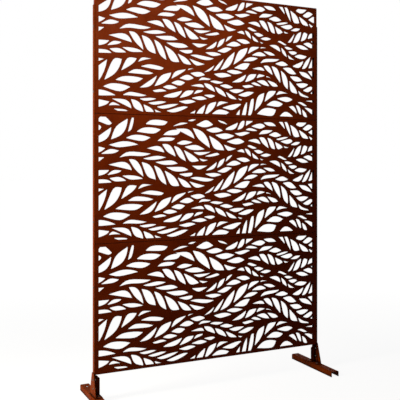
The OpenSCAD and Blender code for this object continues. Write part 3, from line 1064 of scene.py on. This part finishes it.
@dataclass(frozen=True)
class LeafRule:
    """How a leaf is drawn between two veins, in millimetres.

    Its front edge follows the stem and swings out beside the second vein to the leaf's tip. Its
    outer end turns over a shoulder into its back edge, along the first vein.
    """

    rib: float = 8.0
    rib_gain: float = 0.08
    rib_most: float = 0.6
    stem: float = 16.0
    blunt: float = 2.5
    hug: float = 0.6
    bend: float = math.radians(14)
    pull: float = 0.5
    short: float = 4.0
    steps: int = 8
    back_steps: int = 6

    def outline(self, spray: Spray, hand: int, first: Vein, second: Vein) -> Path:
        """Draws one leaf.

        Args:
            spray: The spray that it grows on.
            hand: 1 on the spine's left, -1 on its right.
            first: The vein behind the leaf.
            second: The vein ahead of it.

        Returns:
            The leaf's outline.
        """
        along, ahead = spray.heading(first.place), spray.heading(second.place)
        quarter = hand * math.pi / 2
        corner = spray.at(first.place) + turned(along, quarter) * spray.size * self.stem / 2
        end = spray.at(second.place) + turned(ahead, quarter) * spray.size * self.stem / 2
        base = (end - corner).length
        rib = spray.size * self.rib + self.rib_gain * second.length
        front = end - ahead * min(rib / math.sin(second.lean), self.rib_most * base)
        back_way, front_way = turned(along, hand * first.lean), turned(ahead, hand * second.lean)
        tip = front + front_way * second.length
        swing = tip - turned(front_way, hand * self.bend) * second.length * self.pull
        curve = [corner + along * self.blunt, corner + along * base * self.hug, front, swing, tip]
        points = [bezier(curve, i / self.steps) for i in range(self.steps + 1)]
        if first.length > self.short:
            shoulder = corner + back_way * first.length
            curve = [tip, shoulder, shoulder, corner + back_way * self.blunt]
            points += [bezier(curve, i / self.back_steps) for i in range(1, self.back_steps + 1)]
        return points

    def leaves(self, sprays: tuple[Spray, ...]) -> list[Path]:
        """Draws every leaf on some sprays.

        Args:
            sprays: The sprays.

        Returns:
            The leaves' outlines.
        """
        outlines = []
        for spray in sprays:
            for hand, row in ((1, spray.left), (-1, spray.right)):
                veins = row.veins()
                outlines += [self.outline(spray, hand, a, b) for a, b in zip(veins, veins[1:])]
        return outlines


def looped(outline: Path) -> list[tuple[Vector, Vector]]:
    """Returns the two ends of each of an outline's sides."""
    return list(zip(outline, outline[1:] + outline[:1]))


def clipped(outline: Path, axis: int, limit: float, sign: int) -> Path:
    """Cuts an outline along one straight border.

    Args:
        outline: The outline.
        axis: 0 for an upright border, 1 for a level one.
        limit: Where the border lies.
        sign: 1 for a right or top border, -1 for a left or bottom one.

    Returns:
        The part inside, with no points if there is none.
    """
    kept: Path = []
    for a, b in looped(outline):
        a_inside, b_inside = (sign * (point[axis] - limit) <= 0 for point in (a, b))
        if a_inside:
            kept.append(a)
        if a_inside != b_inside:
            kept.append(a.lerp(b, (limit - a[axis]) / (b[axis] - a[axis])))
    return kept


def anticlockwise(outline: Path) -> Path:
    """Returns an outline in anticlockwise order, as the triangulation wants it."""
    area = sum(a.x * b.y - a.y * b.x for a, b in looped(outline))
    return outline if area > 0 else outline[::-1]


def joined(triangles: list[Triangle]) -> list[Triangle]:
    """Finds the largest set of triangles that hang together by their edges.

    Args:
        triangles: All the triangles.

    Returns:
        The triangles of that set.
    """
    edges = [[frozenset((t[j], t[j - 1])) for j in range(3)] for t in triangles]
    beside: dict[frozenset, list[int]] = {}
    for i, sides in enumerate(edges):
        for side in sides:
            beside.setdefault(side, []).append(i)
    waiting = set(range(len(triangles)))
    largest: list[int] = []
    while waiting:
        reached = [waiting.pop()]
        for i in reached:
            for other in (other for side in edges[i] for other in beside[side]):
                if other in waiting:
                    waiting.remove(other)
                    reached.append(other)
        largest = max(largest, reached, key=len)
    return [triangles[i] for i in largest]


@dataclass
class LeafCutPanel:
    """One panel: the folded rims of its CAD node and a flat front cut by the leaf rule."""

    node: str
    rule: LeafRule
    sheet: float = 1.5
    fold: float = 3.0
    side_border: float = 18.0
    end_border: float = 15.0
    weld: float = 0.01

    def plan(self, width: float, height: float) -> tuple[Path, list[Triangle]]:
        """Cuts the leaves out of the flat front.

        Args:
            width: The panel's width in millimetres.
            height: The panel's height in millimetres.

        Returns:
            The plan's points and the triangles of sheet that are left between the leaves.
        """
        side, end = self.side_border, self.end_border
        left, right, top = self.fold, width - self.fold, height - self.fold
        corners = ((left, left), (right, left), (right, top), (left, top))
        outlines = [[Vector(corner) for corner in corners]]
        for leaf in self.rule.leaves(SPRAYS):
            for border in ((0, side, -1), (0, width - side, 1), (1, end, -1), (1, height - end, 1)):
                leaf = clipped(leaf, *border)
            if leaf:
                outlines.append(anticlockwise(leaf))
        points: Path = []
        faces: list[list[int]] = []
        for outline in outlines:
            faces.append(list(range(len(points), len(points) + len(outline))))
            points.extend(outline)
        points, _, cut, _, _, owners = delaunay_2d_cdt(points, [], faces, 0, self.weld / 10, True)
        kept = [tuple(triangle) for triangle, own in zip(cut, owners) if own == [0]]
        return points, joined(kept)

    def strip_front(self, work: bmesh.types.BMesh, low: Vector, high: Vector) -> None:
        """Takes the flat front and its cut edges off the node's mesh and leaves the rims.

        Args:
            work: The node's mesh, open for editing.
            low: The node's lowest corner.
            high: The node's highest corner.
        """
        inset, slack = self.fold * MM, self.weld * MM
        flat = {
            v
            for v in work.verts
            if v.co.y < low.y + self.sheet * MM + slack
            and all(low[i] + inset - slack < v.co[i] < high[i] - inset + slack for i in (0, 2))
        }
        faces = [face for face in work.faces if flat.issuperset(face.verts)]
        bmesh.ops.delete(work, geom=faces, context="FACES")

    def on_fold(self, point: Vector, size: Point) -> bool:
        """Tells whether a plan point lies where the flat front meets the rims' folds.

        Args:
            point: The point.
            size: The panel's width and height in millimetres.

        Returns:
            True if it does.
        """
        return any(
            min(abs(place - self.fold), abs(length - self.fold - place)) < self.weld
            for place, length in zip(point, size)
        )

    def build(self, finish: Material) -> None:
        """Makes the panel and puts it in the node's place.

        Args:
            finish: The panel's coat.
        """
        low, high = (Vector(corner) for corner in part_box(self.node))
        size = ((high.x - low.x) / MM, (high.z - low.z) / MM)
        points, triangles = self.plan(*size)
        work = bmesh.new()
        work.from_mesh(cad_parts[self.node].data)
        bmesh.ops.remove_doubles(work, verts=work.verts, dist=self.weld * MM)
        self.strip_front(work, low, high)
        used = sorted({i for triangle in triangles for i in triangle})
        front, back = (
            {i: work.verts.new(low + Vector((points[i].x, depth, points[i].y)) * MM) for i in used}
            for depth in (0.0, self.sheet)
        )
        for a, b, c in triangles:
            work.faces.new((front[a], front[b], front[c]))
            work.faces.new((back[c], back[b], back[a]))
        sides = {(t[j - 1], t[j]) for t in triangles for j in range(3)}
        for a, b in sides:
            if (b, a) not in sides and not all(self.on_fold(points[i], size) for i in (a, b)):
                work.faces.new((front[b], front[a], back[a], back[b]))
        bmesh.ops.remove_doubles(work, verts=work.verts, dist=self.weld * MM)
        bmesh.ops.recalc_face_normals(work, faces=work.faces)
        loose = [edge for edge in work.edges if not edge.is_manifold]
        if loose:
            LOG.warning("%s: %d open edges", self.node, len(loose))
        name = self.node + "_leaf_cut"
        panel = in_scene(name, finished_mesh(work, name, finish))
        ride(panel, (self.node,))


# ---- Studio


@dataclass(frozen=True)
class Lamp:
    """One soft rectangular lamp."""

    name: str
    place: Triple
    aim: Triple
    size: Point
    watts: float
    colour: Triple = WHITE
    spread: float = math.pi

    def hang(self) -> None:
        """Puts the lamp in the scene."""
        data = bpy.data.lights.new(self.name, "AREA")
        data.shape = "RECTANGLE"
        data.size, data.size_y = self.size
        data.energy = self.watts
        data.color = self.colour
        data.spread = self.spread
        lamp = in_scene(self.name, data)
        lamp.location = self.place
        towards = Vector(self.aim) - Vector(self.place)
        lamp.rotation_euler = towards.to_track_quat("-Z", "Y").to_euler()


@dataclass
class Studio:
    """A white floor and backdrop, soft lamps and the camera."""

    floor_r: float = 40.0
    floor_grey: float = 0.3
    glow_near: float = 0.93
    glow_fade: Point = (1.2, 3.5)
    ambient: float = 0.01
    lamps: tuple[Lamp, ...] = (
        Lamp("Key", (-1.75, -0.15, 1.05), (-0.6, 0.0, 1.0), (0.4, 1.9), 21.0, (1.0, 0.95, 0.8)),
        Lamp(
            "Sheen", (0.4, -2.6, 2.4), (-0.45, 0.0, 1.8), (0.8, 0.5), 3.4, spread=math.radians(54)
        ),
        Lamp("Behind", (1.6, 3.2, 2.0), (0.0, 0.0, 1.0), (2.0, 2.0), 6.0),
    )
    camera_from_corner: Triple = (-0.8873, -3.2963, 0.9774)
    yaw: float = math.radians(28.19)
    image_px: float = 400.0
    focal_px: float = 726.0
    centre_px: Point = (264.1, 161.8)
    sight: float = 200.0

    def build(self) -> None:
        """Makes the floor, the world, the lamps and the camera."""
        self.lay_floor()
        self.fill_world()
        for lamp in self.lamps:
            lamp.hang()
        self.set_camera()
        bpy.context.scene.view_settings.view_transform = "Standard"

    @staticmethod
    def seen_directly(wiring: Wiring) -> NodeSocket:
        """Tells rays that see a surface from rays that light it.

        Args:
            wiring: The wiring of a material or of the world.

        Returns:
            1 for what the camera, a reflection or a glass sees, and 0 for what lights.
        """
        light = wiring.add("LightPath").outputs
        seen = wiring.sum("MAXIMUM", light["Is Camera Ray"], light["Is Glossy Ray"])
        return wiring.sum("MAXIMUM", seen, light["Is Transmission Ray"])

    def lay_floor(self) -> None:
        """Lays a floor that shows white and keeps the screen's shadow."""
        material = bpy.data.materials.new("Pale floor")
        wiring = cleared(material)
        matt = wiring.add("BsdfDiffuse", color=(self.floor_grey,) * 3)
        place = wiring.add("TexCoord").outputs["Object"]
        away = wiring.join(wiring.add("VectorMath", {"operation": "LENGTH"}), place)
        white = wiring.spread(away, *self.glow_fade, self.glow_near)
        shown = wiring.sum("MULTIPLY", self.seen_directly(wiring), white)
        glow = wiring.add("Emission", color=WHITE, strength=shown)
        wiring.add("OutputMaterial", surface=wiring.join(wiring.add("AddShader"), matt, glow))
        work = bmesh.new()
        bmesh.ops.create_circle(work, cap_ends=True, segments=64, radius=self.floor_r)
        floor = in_scene("floor", finished_mesh(work, "floor", material))

    def fill_world(self) -> None:
        """Makes the surroundings white to look at and dim as a light."""
        world = bpy.data.worlds.new("Studio")
        wiring = cleared(world)
        dim, white = (
            wiring.add("Background", color=WHITE, strength=strength)
            for strength in (self.ambient, 1.0)
        )
        chosen = wiring.join(wiring.add("MixShader"), self.seen_directly(wiring), dim, white)
        wiring.add("OutputWorld", surface=chosen)
        bpy.context.scene.world = world

    def set_camera(self) -> None:
        """Stands the camera where the photograph was taken from, left of the screen and level."""
        low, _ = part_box("panel_bottom")
        data = bpy.data.cameras.new("Camera")
        data.lens = data.sensor_width * self.focal_px / self.image_px
        data.shift_x = 0.5 - self.centre_px[0] / self.image_px
        data.shift_y = self.centre_px[1] / self.image_px - 0.5
        data.clip_end = self.sight
        camera = in_scene("Camera", data)
        camera.location = low + Vector(self.camera_from_corner)
        camera.rotation_euler = (math.pi / 2, 0.0, -self.yaw)
        bpy.context.scene.camera = camera


SIDES = {"left": -1, "right": 1}


def fastener_rows() -> list[FastenerRow]:
    """Lists every row of bolts and nuts on the screen.

    Returns:
        The rows, each with the seed of its turns.
    """
    rows, seam_seed = [], 53
    for number, (side, hand) in enumerate(SIDES.items()):
        away = (float(hand), 0.0, 0.0)
        for kind in ("bolts", "nuts"):
            for part, along, out, seed in (
                ("post", Axis.Z, away, 11),
                ("bracket", Axis.Z, away, 23),
                ("foot", Axis.Y, UP, 37),
            ):
                rows.append(FastenerRow(f"{side}_{part}_{kind}", along, out, seed + number))
    for number, seam in enumerate(("lower", "upper")):
        for kind in ("bolts", "nuts"):
            rows.append(FastenerRow(f"{seam}_seam_{kind}", Axis.X, UP, seam_seed + number))
    return rows


def main() -> None:
    """Dresses the screen, piece by piece, and sets up the studio."""
    logging.basicConfig(level=logging.INFO, format="%(name)s: %(message)s")
    frame_coat = RustCoat(
        "Frame coat", body=srgb(156, 64, 9), deep=srgb(136, 50, 6), patches=9.0, rub=0.6,
        roughness=(0.67, 0.55), specular=0.03, sheen=srgb(255, 120, 40),
    )
    panel_coat = RustCoat("Panel coat").material()
    for level in ("bottom", "middle", "top"):
        LeafCutPanel("panel_" + level, LeafRule()).build(panel_coat)
    frame_nodes = (f"{side}_{part}" for side in SIDES for part in ("post", "foot", "bracket"))
    CoatedParts(tuple(frame_nodes), frame_coat).dress()
    zinc = DarkZinc("Dark zinc").material()
    for row in fastener_rows():
        row.build(zinc)
    weld_coat = frame_coat.material()
    for side, hand in SIDES.items():
        BracketWelds(side, hand).build(weld_coat)
    Studio().build()


if __name__ == "__main__":
    main()
